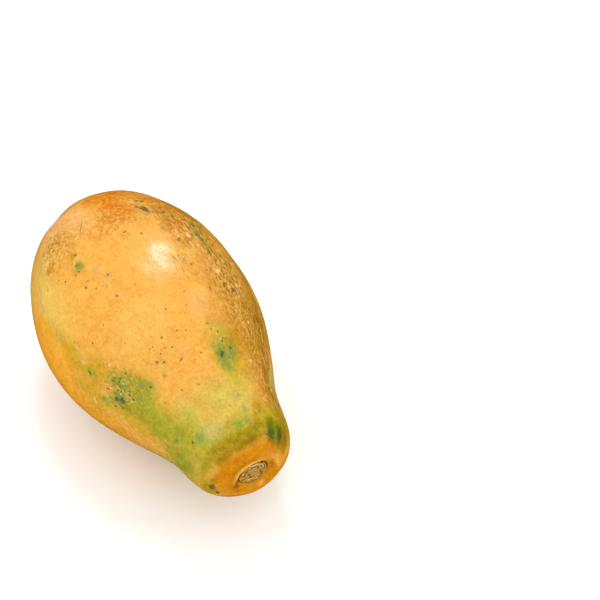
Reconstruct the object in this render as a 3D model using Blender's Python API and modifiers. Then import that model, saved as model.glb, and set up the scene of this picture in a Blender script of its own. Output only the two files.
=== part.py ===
"""A whole ripe papaya lying on its side, with the stub of its stalk.

Metres, +Z up. The fruit is first turned about its own axis, which runs along +X from the
blossom end (distance 0) to the stem end. Then it gets its ridges, its uneven girth and its
bent neck, and at last it is tipped until it lies as it would on a table.
"""

import math

import bmesh
import bpy
import numpy as np

MM = 0.001
NAME = "papaya"

# Half outline of the fruit in mm: distance from the blossom end, radius.
OUTLINE_MM = [
    (0.0, 0.0),
    (1.5, 8.5),
    (7.5, 19.5),
    (18.5, 32.0),
    (34.0, 41.0),
    (52.5, 47.5),
    (73.0, 49.5),
    (93.5, 47.5),
    (112.0, 41.5),
    (129.0, 33.5),
    (143.0, 27.5),
    (154.0, 25.0),
    (162.5, 22.0),
    (168.0, 17.0),
    (170.0, 12.5),
]
LENGTH = 170.0 * MM
OUTLINE_RINGS = 46
SEGMENTS = 60

# Dish and socket in the stem end, which hold the stub of the stalk.
DISH_RIM_RADIUS = 10.5 * MM
DISH_DEPTH = 1.5 * MM
SOCKET_DEPTH = 4.5 * MM
STUB_RADIUS = 6.8 * MM
STUB_EDGE = 0.8 * MM
STUB_DOME = 0.5 * MM
STUB_GAP = 0.3 * MM

# Five soft ridges, as shares of the radius: the share all along the fruit, and where it swells
# (middle, reach along the axis, share added).
RIDGES = 5
RIDGE_TURN = math.radians(58.0)
RIDGE_ALL = 0.003
RIDGE_SWELLS = [
    (62.0 * MM, 34.0 * MM, 0.024),
    (170.0 * MM, 20.0 * MM, 0.008),
]
# The girth is a little uneven: waves round the fruit, share of the radius, turn.
UNEVEN_GIRTH = [
    (2, 0.011, math.radians(49.0)),
    (3, 0.0155, math.radians(57.0)),
]

# The neck bends past the belly: how far its end has moved to +Y and to +Z.
BEND_START = 76.5 * MM
NECK_SIDEWAYS = -4.7 * MM
NECK_LIFT = 3.0 * MM

# It lies with the neck tipped down, on a spot that its weight has flattened.
TIP_DOWN = math.radians(8.0)
REST_DEPTH = 1.0 * MM
SNAP = 0.15 * MM

SKIN_COLOUR = "#F2B04A"
STALK_COLOUR = "#8E6A2C"


def linear(hex_colour):
    """Linear colour with alpha from an sRGB hex value."""
    channels = [int(hex_colour[i:i + 2], 16) / 255.0 for i in (1, 3, 5)]
    return [c / 12.92 if c <= 0.04045 else ((c + 0.055) / 1.055) ** 2.4 for c in channels] + [1.0]


def plain_material(name, hex_colour, roughness):
    """Principled material of one colour."""
    material = bpy.data.materials.new(name)
    material.use_nodes = True
    shader = material.node_tree.nodes["Principled BSDF"]
    shader.inputs["Base Color"].default_value = linear(hex_colour)
    shader.inputs["Roughness"].default_value = roughness
    shader.inputs["Metallic"].default_value = 0.0
    material.diffuse_color = linear(hex_colour)
    return material


def smooth_curve(knots, count, start_direction):
    """Evenly spaced points on the cubic spline through the knots, measured along its chords."""
    knots = np.array(knots)
    steps = np.linalg.norm(np.diff(knots, axis=0), axis=1)
    along = np.concatenate([[0.0], np.cumsum(steps)])
    slopes = np.diff(knots, axis=0) / steps[:, None]
    last = len(knots) - 1
    system = np.eye(last + 1)
    change = np.zeros_like(knots)
    system[0, :2] = 2.0 * steps[0], steps[0]
    change[0] = 6.0 * (slopes[0] - np.array(start_direction))
    for i in range(1, last):
        system[i, i - 1:i + 2] = steps[i - 1], 2.0 * (steps[i - 1] + steps[i]), steps[i]
        change[i] = 6.0 * (slopes[i] - slopes[i - 1])
    bending = np.linalg.solve(system, change)

    points = []
    for place in np.linspace(0.0, along[-1], count):
        i = min(int(np.searchsorted(along, place, side="right")) - 1, last - 1)
        before = (along[i + 1] - place) / steps[i]
        after = 1.0 - before
        curve = (before ** 3 - before) * bending[i] + (after ** 3 - after) * bending[i + 1]
        points.append(before * knots[i] + after * knots[i + 1] + curve * steps[i] ** 2 / 6.0)
    return points


def fruit_outline():
    """Half outline of the fruit from its socket's floor, over the rim, to the blossom end."""
    skin = smooth_curve(np.array(OUTLINE_MM) * MM, OUTLINE_RINGS, (0.0, 1.0))
    skin[0][1] = 0.0
    mouth = LENGTH - DISH_DEPTH
    floor = LENGTH - DISH_DEPTH - SOCKET_DEPTH
    wall_radius = STUB_RADIUS + STUB_GAP
    inside = [
        (floor, 0.0),
        (floor, 0.5 * wall_radius),
        (floor, wall_radius),
        (0.5 * (floor + mouth), wall_radius),
        (mouth, wall_radius),
        (LENGTH - 0.3 * DISH_DEPTH, DISH_RIM_RADIUS),
    ]
    return inside + [tuple(point) for point in reversed(skin)]


def stub_outline():
    """Half outline of the stalk's stub, from the middle of its cut face to its buried end."""
    face = LENGTH - DISH_DEPTH
    foot = LENGTH - DISH_DEPTH - SOCKET_DEPTH + STUB_GAP
    return [
        (face + STUB_DOME, 0.0),
        (face + 0.8 * STUB_DOME, 0.5 * STUB_RADIUS),
        (face, STUB_RADIUS - STUB_EDGE),
        (face - 0.3 * STUB_EDGE, STUB_RADIUS - 0.3 * STUB_EDGE),
        (face - STUB_EDGE, STUB_RADIUS),
        (foot, STUB_RADIUS),
        (foot, 0.5 * STUB_RADIUS),
        (foot, 0.0),
    ]


def ridge_share(distance):
    """How far the ridges stand out at this distance, as a share of the radius."""
    swells = [size * math.exp(-((distance - middle) / reach) ** 2) for middle, reach, size in RIDGE_SWELLS]
    return RIDGE_ALL + sum(swells)


def grown(distance, radius, angle):
    """Place of a point of the plain turned fruit on the grown one. Angle 0 is +Y, a quarter turn is +Z."""
    share = ridge_share(distance) * math.cos(RIDGES * (angle - RIDGE_TURN))
    for waves, size, turn in UNEVEN_GIRTH:
        share += size * math.cos(waves * (angle - turn))
    y = radius * (1.0 + share) * math.cos(angle)
    z = radius * (1.0 + share) * math.sin(angle)
    bent_length = LENGTH - BEND_START
    past = max(distance - BEND_START, 0.0) / bent_length
    slope_y = 2.0 * NECK_SIDEWAYS * past / bent_length
    slope_z = 2.0 * NECK_LIFT * past / bent_length
    x = distance - slope_y * y - slope_z * z
    return x, y + NECK_SIDEWAYS * past ** 2, z + NECK_LIFT * past ** 2


def turned(name, outline, collection):
    """Object turned from a half outline that runs from the stem end's middle to the far end's middle."""
    bm = bmesh.new()
    points = [bm.verts.new((radius, 0.0, distance)) for distance, radius in outline]
    for start, end in zip(points, points[1:]):
        bm.edges.new((start, end))
    mesh = bpy.data.meshes.new(name)
    bm.to_mesh(mesh)
    bm.free()
    profile = bpy.data.objects.new(name + "_outline", mesh)
    collection.objects.link(profile)
    screw = profile.modifiers.new("Turn", "SCREW")
    screw.axis = "Z"
    screw.steps = SEGMENTS
    screw.render_steps = SEGMENTS
    screw.use_merge_vertices = True
    screw.merge_threshold = 0.00001

    evaluated = profile.evaluated_get(bpy.context.evaluated_depsgraph_get())
    solid = bpy.data.meshes.new_from_object(evaluated)
    bpy.data.objects.remove(profile)
    bpy.data.meshes.remove(mesh)
    solid.name = name
    result = bpy.data.objects.new(name, solid)
    collection.objects.link(result)
    return result


def grow(piece):
    """Give a turned piece the fruit's ridges, girth and bend, and lay its axis along +X."""
    for vertex in piece.data.vertices:
        x, y, z = vertex.co
        vertex.co = grown(z, math.hypot(x, y), math.atan2(-x, y))


def flatten_rest_spot(piece, down):
    """Cut the lowest part off the piece, square to down, and close the cut with a flat face."""
    bm = bmesh.new()
    bm.from_mesh(piece.data)
    lowest = max(bm.verts, key=lambda vertex: vertex.co.dot(down))
    bmesh.ops.bisect_plane(
        bm,
        geom=bm.verts[:] + bm.edges[:] + bm.faces[:],
        dist=SNAP,
        plane_co=lowest.co - down * REST_DEPTH,
        plane_no=down,
        use_snap_center=True,
        clear_outer=True,
    )
    bmesh.ops.edgeloop_fill(bm, edges=[edge for edge in bm.edges if edge.is_boundary])
    bmesh.ops.recalc_face_normals(bm, faces=bm.faces[:])
    bm.to_mesh(piece.data)
    bm.free()


def finish(piece, material):
    """Shade the piece smooth with its real corners kept sharp, and give it its material."""
    piece.data.shade_smooth()
    piece.data.set_sharp_from_angle(angle=math.radians(40.0))
    piece.data.materials.append(material)


def stand_at_origin(lying, pieces):
    """Move what carries the pieces so that the middle of their box's underside is the origin."""
    bpy.context.view_layer.update()
    corners = np.array([piece.matrix_world @ vertex.co for piece in pieces for vertex in piece.data.vertices])
    low = corners.min(axis=0)
    high = corners.max(axis=0)
    lying.location = (-(low[0] + high[0]) / 2.0, -(low[1] + high[1]) / 2.0, -low[2])
    bpy.context.view_layer.update()


def main():
    for item in list(bpy.data.objects):
        bpy.data.objects.remove(item)
    collection = bpy.data.collections.new(NAME)
    bpy.context.scene.collection.children.link(collection)

    lying = bpy.data.objects.new("lying_papaya", None)
    lying.rotation_euler = (0.0, TIP_DOWN, 0.0)
    collection.objects.link(lying)
    bpy.context.view_layer.update()
    down = lying.matrix_world.to_3x3().inverted().col[2].normalized() * -1.0

    fruit = turned("fruit", fruit_outline(), collection)
    grow(fruit)
    flatten_rest_spot(fruit, down)
    finish(fruit, plain_material("skin", SKIN_COLOUR, 0.42))

    stub = turned("stem_stub", stub_outline(), collection)
    grow(stub)
    finish(stub, plain_material("stalk", STALK_COLOUR, 0.85))

    for piece in (fruit, stub):
        piece.parent = lying
    stand_at_origin(lying, (fruit, stub))


main()
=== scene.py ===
"""Looks of a whole ripe papaya on a pale floor: its skin, the stub of its stalk, light and camera.

Metres, unless a name says MM. A place on the skin is given as the fruit grows: the distance from
its blossom end in mm, and the angle round its axis in degrees, where 0 is +Y and 90 is up.
"""

import math

import bmesh
import bpy
import numpy as np
from mathutils import Matrix, Vector, noise


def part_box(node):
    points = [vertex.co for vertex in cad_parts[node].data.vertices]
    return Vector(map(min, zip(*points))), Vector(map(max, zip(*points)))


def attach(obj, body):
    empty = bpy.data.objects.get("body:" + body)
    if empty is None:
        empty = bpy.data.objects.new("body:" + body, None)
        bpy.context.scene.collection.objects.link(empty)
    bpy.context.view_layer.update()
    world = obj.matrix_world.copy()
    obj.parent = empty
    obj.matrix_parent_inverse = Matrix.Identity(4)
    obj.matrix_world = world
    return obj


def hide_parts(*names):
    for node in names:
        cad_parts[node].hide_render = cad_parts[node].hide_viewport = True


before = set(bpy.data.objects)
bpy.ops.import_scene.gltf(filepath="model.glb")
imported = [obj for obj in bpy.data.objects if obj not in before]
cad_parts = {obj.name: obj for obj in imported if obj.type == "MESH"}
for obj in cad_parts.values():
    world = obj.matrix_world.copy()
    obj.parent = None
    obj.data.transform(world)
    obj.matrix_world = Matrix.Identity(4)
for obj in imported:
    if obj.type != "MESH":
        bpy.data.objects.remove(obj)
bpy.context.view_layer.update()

MM = 0.001

# Half outline of the fruit in mm: distance from the blossom end, radius.
SKIN_OUTLINE_MM = [
    (0.0, 0.0),
    (1.5, 8.5),
    (7.5, 19.5),
    (18.5, 32.0),
    (34.0, 41.0),
    (52.5, 47.5),
    (73.0, 49.5),
    (93.5, 47.5),
    (112.0, 41.5),
    (129.0, 33.5),
    (143.0, 27.5),
    (154.0, 25.0),
    (162.5, 22.0),
    (168.0, 17.0),
    (170.0, 12.5),
]
# Inside that rim: the dish round the stub, and the socket that the stub sits in.
RIM_MM = 12.5
STEM_END_MM = [
    (169.9, 11.4),
    (169.5, 10.2),
    (169.2, 9.0),
    (168.8, 7.9),
    (167.9, 7.25),
    (166.0, 7.1),
    (162.7, 7.1),
]
SKIN_RINGS = 212
STEM_END_RINGS = 26
FLOOR_RINGS = 3
SKIN_SEGMENTS = 400

# Stub of the stalk, in the socket with a gap round it.
STUB_RADIUS = 6.8 * MM
STUB_FACE = 168.3 * MM
STUB_FOOT = 162.9 * MM
STUB_SEGMENTS = 150
STUB_FACE_RINGS = 34
STUB_SIDE_RINGS = 6
# Points closer than this are one point.
MERGE_DISTANCE = 0.001 * MM

# Growth of the plain turned fruit, as in its solid.
LENGTH = 170.0 * MM
RIDGES = 5
RIDGE_TURN = math.radians(58.0)
RIDGE_ALL = 0.003
RIDGE_SWELLS = [
    (62.0 * MM, 34.0 * MM, 0.024),
    (170.0 * MM, 20.0 * MM, 0.008),
]
UNEVEN_GIRTH = [
    (2, 0.011, math.radians(49.0)),
    (3, 0.0155, math.radians(57.0)),
]
BEND_START = 76.5 * MM
NECK_SIDEWAYS = -4.7 * MM
NECK_LIFT = 3.0 * MM
TIP_DOWN = math.radians(8.0)
REST_DEPTH = 1.0 * MM

# Relief of the stem end. A lip stands round the stub, highest at its upper side. A crease runs
# outside it and swings inwards on the right, and outside the crease the skin swells.
STEM_END = 160.0 * MM
UPPER_SIDE = math.radians(118.0)
RIGHT_DEGREES = 8.0
RIGHT_SPREAD_DEGREES = 34.0
LIP_HEIGHT_MM = 0.45
LIP_RADIUS = 9.6 * MM
LIP_REACH = 1.5 * MM
CREASE_DEPTH_MM = 0.9
CREASE_RADIUS_MM = 12.2
CREASE_SWING_MM = 2.4
CREASE_REACH = 0.7 * MM
SWELLING_HEIGHT_MM = 0.5
SWELLING_RADIUS = 13.8 * MM
SWELLING_REACH = 1.9 * MM

# Relief of the blossom end: a dimple where the flower sat, and folds that run out from it.
BLOSSOM_END = 20.0 * MM
DIMPLE_DEPTH_MM = 0.9
DIMPLE_REACH = 3.4 * MM
FOLD_HEIGHT_MM = 0.32
FOLD_RADIUS = 8.0 * MM
FOLD_REACH = 9.0 * MM

# Flat places on one shoulder: distance, angle, reach in mm, depth in mm.
FLAT_SHOULDER = [
    (25, 156, 13, 1.0),
    (8.5, 131, 7, 2.3),
]

# Lumps in the skin: their size, their height in mm, and the seed of their noise. They fade out
# over the last stretch before the dish.
LUMPS = [
    (22.0 * MM, 0.3, 3.0),
    (8.0 * MM, 0.12, 7.0),
]
LUMPS_END_MM = 169.0
LUMPS_FADE_MM = 10.0

# Noise that bends the washes' outlines: its size and seed, along the fruit and round it. Along the
# fruit it shifts them by so many mm at these distances, and less and less towards the stub.
WARP_ALONG = (16.0 * MM, 11.0)
WARP_ROUND = (13.0 * MM, 17.0)
WARP_PLACES_MM = [145.0, 160.0, 170.0, 172.0]
WARP_SHIFTS_MM = [2.5, 1.2, 0.5, 0.15]
WARP_TURN_DEGREES = 5.0

# Lengthwise grain is as wide at the ends as it would be at this radius.
GRAIN_RADIUS = 12.0 * MM

# Steps along the skin, and round it in radians, for finding its direction at a mark.
STEP_ALONG = 0.3 * MM
STEP_ROUND = 0.01

# The stub's face: how far down from it counts as face, its crumbs (size in mm, height in mm,
# seed), and its uneven edge (size in mm and seed of its noise, share of the radius, widest).
FACE_MARGIN = 0.1 * MM
STUB_CRUMBS = [
    (1.3, 0.35, 5.0),
    (0.6, 0.2, 9.0),
]
STUB_EDGE = (2.2, 21.0)
STUB_EDGE_SHARE = 0.03
STUB_WIDEST = 6.95 * MM
STUB_MARK_DEPTH = 4.0 * MM

# Camera: at the photograph's angle and framing.
VIEW_AZIMUTH = math.radians(55.1)
VIEW_ELEVATION = math.radians(48.0)
CAMERA_DISTANCE = 0.7398
CAMERA_AIM = Vector((0.0045, 0.0750, 0.0325))
LENS_MM = 90.0
SENSOR_MM = 36.0

# Softbox: the pale shine on the belly's upper side is its reflection, brightest at its core.
SHINE_PLACE = Vector((-0.004, 0.006, 0.099))
SOFTBOX_DIRECTION = Vector((-0.38, 0.25, 0.89)).normalized()
SOFTBOX_DISTANCE = 1.1
SOFTBOX_SIZE = 0.2
SOFTBOX_POWER = 2.2
CORE_SIZE = 0.21
CORE_POWER = 12.0
SKY_STRENGTH = 1.3
FLOOR_SIZE = 4.0

# Sizes of the patterns in the skin and in the stub.
BLOTCH_SIZE = 5.0 * MM
MOTTLE_SIZE = 1.3 * MM
DASH_WIDTH = 0.85 * MM
SPECKLE_SIZE = 1.8 * MM
FLECK_SPACING = 3.0 * MM
RAGGED_SIZE = 1.5 * MM
PIMPLE_SIZE = 2.4 * MM
PORE_SPACING = 1.5 * MM
CRUMB_SIZE = 1.3 * MM

# How much blotches and mottling lighten and darken the skin.
BLOTCH_MOTTLING = 0.6
FINE_MOTTLING = 0.7
# Dashes are about four times as long as they are wide.
DASH_STRETCH = (0.24, 1.0, 1.0)
# Tones laid over a colour where a noise is high or low: the tone, the noise where it starts and
# where it is full, and its strength there.
DASH_TONES = [("#7C5408", 0.51, 0.6, 0.85), ("#F2C478", 0.45, 0.36, 0.5)]
SPECKLE_TONES = [("#A8640A", 0.5, 0.6, 0.75), ("#F4CC86", 0.46, 0.36, 0.4)]
CRUMB_TONES = [("#5C3D12", 0.47, 0.34, 0.85), ("#DDB266", 0.55, 0.68, 0.8)]

# Flecks: the lot above which a cell holds one, and the largest as a share of the cells' spacing.
FLECK_LOT = 0.84
FLECK_LARGEST = 0.2
FLECK_STRENGTH = 0.55

# Relief: what pimples and lengthwise grain add where their field is full, and what they have all
# over, and how deep the pores are.
PIMPLE_HEIGHTS_MM = (0.35, 0.06)
GRAIN_HEIGHTS_MM = (0.16, 0.04)
PORE_DEPTH_MM = 0.09

# Roughness of clean skin, and what scuffs and marks add to it.
SKIN_ROUGHNESS = 0.2
SCUFF_ROUGHNESS = 0.24
MARK_ROUGHNESS = 0.2

# A wash is full once its strength is this far past the blotches' threshold.
WASH_FADE = 0.7

SKIN_COLOUR = "#DC9F42"
FLECK_COLOUR = "#94661C"
STALK_COLOUR = "#AC8228"
CARD_COLOUR = "#F6F6F5"

# Washes of colour in the skin, from the first laid on to the last. Each has its name, its colour,
# how far it breaks up into blotches, and its soft spots: distance, angle, reach along the fruit
# in mm, reach round it in degrees, strength. Inside the rim, the distance goes on towards the stub.
# The reach ALL_ROUND takes a spot right round the fruit.
ALL_ROUND = 4000.0
WASHES = [
    ("pale_gold", "#DFA84F", 0.2, [
        (99, 112, 12, 18, 1.0),
        (87, 150, 6, 6, 0.1),
    ]),
    ("warm_amber", "#C68B36", 0.3, [
        (58, 98, 15, 20, 0.25),
        (36, 128, 12, 14, 0.4),
        (120, 96, 9, 14, 0.1),
        (112, 66, 12, 12, 0.7),
        (92, 66, 14, 8, 0.9),
        (64, 250, 26, 30, 0.7),
        (110, 330, 26, 24, 0.6),
        (134, 62, 10, 8, 1.0),
        (76, 72, 9, 6, 0.15),
        (48, 76, 7, 5, 0.7),
        (144, 58, 8, 6, 0.7),
        (87, 72, 6, 5, 0.25),
    ]),
    ("golden_orange", "#E29D28", 0.3, [
        (66, 182, 22, 13, 1.0),
        (84, 184, 18, 12, 1.0),
        (46, 172, 10, 8, 0.65),
        (104, 204, 26, 16, 0.85),
        (30, 240, 20, 30, 0.7),
        (90, 290, 26, 20, 0.6),
        (100, 188, 16, 14, 1.0),
        (126, 110, 8, 12, 0.15),
        (78, 167, 7, 5, 1.0),
        (57, 170, 6, 6, 1.0),
        (48, 134, 5, 4, 0.35),
    ]),
    ("gold", "#C39723", 0.3, [
        (116, 192, 22, 20, 0.35),
        (100, 170, 12, 12, 0.85),
        (80, 158, 18, 8, 1.0),
        (112, 118, 10, 10, 0.1),
        (130, 66, 10, 10, 0.65),
        (60, 348, 30, 18, 0.6),
        (134, 170, 9, 9, 0.8),
        (123, 171, 8, 7, 1.0),
        (100, 150, 9, 7, 1.0),
        (135, 76, 8, 8, 1.0),
        (117, 88, 5, 6, 0.3),
    ]),
    ("straw", "#DDB754", 0.3, [
        (50, 154, 26, 10, 0.15),
        (34, 150, 10, 14, 0.45),
        (24, 132, 9, 14, 0.35),
        (30, 176, 14, 10, 1.0),
        (88, 236, 20, 14, 0.5),
        (58, 150, 20, 13, 0.7),
        (40, 150, 12, 13, 0.5),
    ]),
    ("deep_orange", "#CF7C11", 0.4, [
        (22, 72, 11, 17, 1.0),
        (33, 84, 8, 8, 1.0),
        (45, 97, 6, 15, 0.6),
        (36, 63, 9, 8, 0.85),
        (62, 66, 7, 4, 0.75),
        (43, 119, 2.5, 3, 0.6),
        (31, 130, 4, 5, 0.15),
        (42, 138, 6, 4, 0.55),
        (52, 56, 14, 6, 0.95),
        (18, 320, 14, 50, 0.7),
        (40, 270, 16, 26, 0.7),
        (80, 322, 22, 16, 0.6),
        (21, 90, 7, 9, 0.8),
        (50, 62, 7, 5, 1.0),
        (60, 61, 6, 4, 1.0),
        (42, 83, 4, 5, 0.6),
        (39, 94, 4, 6, 0.4),
    ]),
    ("blush", "#DEA461", 0.2, [
        (27, 108, 11, 12, 0.7),
        (18, 130, 8, 15, 1.0),
        (66, 117, 8, 6, 0.35),
        (104, 80, 8, 7, 0.55),
        (70, 64, 3, 4, 0.4),
        (88, 154, 6, 5, 0.4),
        (57, 172, 4, 3, 0.15),
        (60, 226, 18, 12, 0.5),
        (130, 101.5, 4, 5, 0.4),
        (117.7, 104, 3, 3, 0.65),
    ]),
    # Ochre: the skin's own ochre tone, and painted shade that darkens the flank towards +Y, about 30 to 50
    # degrees round, where it turns from the light.
    ("ochre_and_flank_shade", "#B27D18", 0.4, [
        (60, 52, 16, 7, 1.0),
        (78, 56, 12, 7, 0.9),
        (94, 50, 14, 9, 0.65),
        (112, 47, 12, 8, 1.0),
        (44, 52, 10, 7, 0.6),
        (128, 50, 12, 8, 1.0),
        (146, 50, 10, 7, 1.0),
        (120, 62, 8, 8, 0.85),
        (72, 282, 26, 16, 0.6),
        (30, 350, 20, 24, 0.6),
        (112, 252, 16, 16, 0.5),
        (78, 42, 10, 6, 0.65),
        (51, 66, 8, 5, 1.0),
        (66, 62, 9, 4, 0.55),
        (72, 70, 4, 4, 0.8),
        (153, 66, 6, 8, 0.95),
        (132, 33, 10, 6, 1.0),
        (68, 47, 12, 6, 0.35),
        (103, 60, 10, 5, 0.55),
        (124, 70, 6, 5, 1.0),
        (48, 122, 4, 4, 0.6),
        (60, 70, 5, 3.5, 0.75),
        (102, 55, 7, 4, 0.5),
        (72, 58, 6, 3.5, 1.0),
        (42, 142, 4, 4, 0.75),
        (57, 126, 4, 4, 0.7),
    ]),
    # Brown gold: a brown tone on the flank towards +Y, and painted shade that darkens that flank towards
    # its edge, about 25 to 50 degrees round.
    ("brown_gold_and_flank_shade", "#A07007", 0.4, [
        (98, 38, 18, 6, 0.65),
        (120, 36, 14, 8, 1.0),
        (136, 42, 12, 4, 1.0),
        (114, 24, 12, 9, 0.55),
        (152, 42, 9, 5, 0.65),
        (60, 16, 18, 10, 0.5),
        (112, 306, 14, 12, 0.4),
        (90, 41, 12, 4, 0.55),
        (153, 34, 7, 9, 0.7),
        (141, 37, 9, 5, 0.6),
        (104, 34, 9, 6, 0.45),
        (76, 56, 7, 4, 0.35),
        (156, 46, 5, 5, 0.8),
    ]),
    ("lemon", "#A6B04B", 0.15, [
        (143, 98, 11, 30, 0.45),
        (150, 78, 7, 10, 0.3),
        (140, 70, 7, 10, 0.15),
        (138, 128, 7, 9, 0.4),
        (140, 212, 9, 20, 1.0),
        (142, 276, 9, 20, 0.5),
        (154, 124, 5, 14, 1.0),
        (146, 132, 6, 8, 0.4),
    ]),
    ("yellow_green", "#989726", 0.25, [
        (125, 150, 12, 11, 0.9),
        (110, 146, 7, 6, 0.9),
        (140, 146, 10, 14, 0.7),
        (118, 162, 6, 8, 0.65),
        (150, 152, 9, 24, 0.6),
        (150, 176, 8, 16, 1.0),
        (156, 112, 5, 34, 0.5),
        (118, 77, 8, 9, 0.5),
        (128, 78, 7, 9, 1.0),
        (158, 60, 6, 9, 0.65),
        (95, 158, 5, 4, 0.65),
        (55, 124, 3.5, 2.5, 0.45),
        (72, 57, 10, 4, 0.3),
        (142, 28, 12, 7, 0.75),
        (144, 322, 14, 34, 0.8),
        (128, 262, 16, 24, 0.8),
        (102, 296, 12, 16, 0.5),
        (68, 4, 20, 10, 0.35),
        (134, 162, 9, 8, 1.0),
        (156, 90, 4, 14, 0.75),
        (160, 150, 4, 20, 0.5),
        (156, 180, 6, 16, 0.4),
        (62, 162, 16, 8, 0.25),
        (153, 134, 5, 8, 0.5),
        (141, 178, 6, 7, 0.6),
        (108, 166, 5, 4, 0.7),
        (144, 158, 7, 8, 0.1),
        (120, 139, 8, 8, 0.5),
    ]),
    ("unripe_green", "#9E8909", 0.45, [
        (148, 170, 8, 13, 0.75),
        (134, 154, 9, 9, 0.4),
        (120, 160, 4, 5, 0.85),
        (118, 140, 6, 4, 0.55),
        (126, 79, 5, 7, 1.0),
        (112, 157, 4, 5, 0.4),
        (159, 58, 4, 6, 1.0),
        (158, 28, 7, 14, 0.25),
        (165, 185, 4, 20, 1.0),
        (150, 316, 9, 26, 0.7),
        (132, 264, 10, 16, 0.6),
        (114, 161, 4, 5, 1.0),
        (128, 160, 7, 7, 0.6),
        (128, 70, 4, 4, 0.2),
        (154, 52, 5, 6, 0.85),
    ]),
    ("sea_green", "#717C3A", 0.6, [
        (126, 79, 4, 5, 0.75),
        (122, 82, 3, 4, 0.1),
        (129, 73, 3, 4, 0.55),
        (113, 157, 4, 5, 0.85),
        (119, 145, 4, 6, 0.2),
        (55, 123.5, 3, 2, 0.85),
        (148, 81, 4, 4, 0.35),
        (152, 134, 3, 4, 0.75),
        (159, 58, 4, 4, 0.35),
        (148, 172, 5, 6, 0.25),
        (134, 268, 6, 10, 0.5),
        (148, 326, 6, 12, 0.5),
    ]),
    ("bloom", "#BCA855", 0.5, [
        (107, 150, 5, 7, 0.3),
        (108, 162, 4, 4, 0.4),
        (136, 26, 9, 5, 0.9),
        (131, 77, 2.5, 5, 0.3),
        (145, 34, 9, 2, 0.45),
        (153, 120, 5, 14, 1.0),
        (119, 122, 4, 4, 0.6),
        (127, 76, 6, 8, 0.3),
    ]),
    # Olive: painted shade, a darker olive band round the neck just below the stem end.
    ("olive_neck_shade", "#938008", 0.4, [
        (161.3, 100, 3.2, 60, 0.95),
        (158.5, 76, 3.5, 8, 0.6),
        (161, 38, 6, 24, 0.95),
        (161, 330, 4, 40, 0.5),
        (161.5, 165, 4, 34, 0.4),
    ]),
    ("brown_olive", "#8B6F05", 0.4, [
        (164.8, 98, 2.4, 40, 1.0),
        (165.5, 40, 4, 20, 1.0),
        (164.5, 300, 2.5, 50, 0.5),
        (168, 26, 4, 12, 0.85),
        (165, 132, 2.0, 12, 0.9),
        (167.5, 165, 2.4, 12, 1.0),
        (167.5, 48, 2.6, 12, 1.0),
    ]),
    ("stem_orange", "#C27A04", 0.25, [
        (171.0, 105, 4.4, 52, 1.0),
        (172.5, 0, 4.5, ALL_ROUND, 1.0),
        (168.4, 66, 2.6, 8, 0.85),
        (168.6, 150, 2.2, 24, 1.0),
        (168.6, 100, 1.8, 30, 0.6),
    ]),
    ("stem_green", "#5A6A04", 0.3, [
        (164.4, 60, 3.8, 6.0, 1.0),
        (164.8, 47, 4.0, 6.5, 1.0),
        (166.2, 182, 2.4, 5, 0.1),
        (160.5, 58, 3.0, 4.5, 0.55),
    ]),
    # Crease: painted shade, a darker brown-gold laid mostly along the crease outside the lip, where the
    # skin dips.
    ("crease", "#946500", 0.3, [
        (170.1, 118, 0.8, 44, 0.6),
        (171.4, 164, 0.8, 20, 0.8),
        (172.4, 46, 0.7, 20, 0.7),
        (173.4, 8, 0.8, 24, 0.7),
        (165.2, 128, 1.6, 8, 0.45),
    ]),
    # Lip: painted highlight, a paler orange along the raised lip round the stub, strongest on its upper
    # side where the lip stands highest.
    ("lip", "#EFAF4C", 0.15, [
        (169.6, 60, 1.8, 30, 0.1),
        (172.6, 288, 1.4, 12, 0.5),
        (172.9, 118, 1.8, 58, 0.9),
        (170.6, 20, 1.6, 34, 0.6),
    ]),
    # Stain: a real brownish stain beside the stub, and painted shade in the gap round the stub (its last
    # spot).
    ("stain_and_socket_shade", "#8E5212", 0.45, [
        (173.0, 198, 2.0, 13, 1.0),
        (171.8, 214, 1.4, 7, 0.6),
        (174.2, 186, 0.9, 8, 0.8),
        # Painted shade: a dark ring all round the socket's wall, in the gap beside the stub.
        (175.5, 0, 0.5, ALL_ROUND, 1.0),
    ]),
    ("smudge", "#94905A", 0.45, [
        (174.0, 258, 1.5, 11, 0.75),
        (175.0, 292, 0.9, 14, 0.5),
    ]),
]
# Where the skin is scuffed into fine dashes along the fruit, and where it is pimpled.
SCUFFED = [
    (68, 60, 14, 10, 1.0),
    (92, 55, 18, 12, 1.0),
    (118, 50, 16, 14, 0.6),
    (142, 44, 14, 14, 0.5),
    (80, 78, 8, 6, 0.5),
    (50, 62, 8, 10, 0.7),
    (30, 62, 12, 14, 0.5),
    (44, 92, 10, 16, 0.35),
    (34, 130, 14, 20, 0.5),
    (112, 150, 12, 14, 0.6),
    (100, 186, 30, 16, 0.4),
    (140, 176, 16, 20, 0.35),
    (80, 250, 30, 20, 0.7),
    (60, 330, 20, 14, 0.5),
]
PIMPLED = [
    (34, 133, 12, 14, 1.0),
    (33, 82, 14, 16, 0.7),
    (46, 96, 9, 16, 0.5),
    (66, 62, 14, 9, 0.7),
    (110, 152, 9, 12, 0.6),
    (124, 77, 6, 8, 0.5),
    (40, 260, 20, 30, 0.7),
    (130, 300, 20, 30, 0.6),
]

# How far past its edge a mark is still felt, as a multiple of its size.
MARK_MARGIN = 1.8

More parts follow.
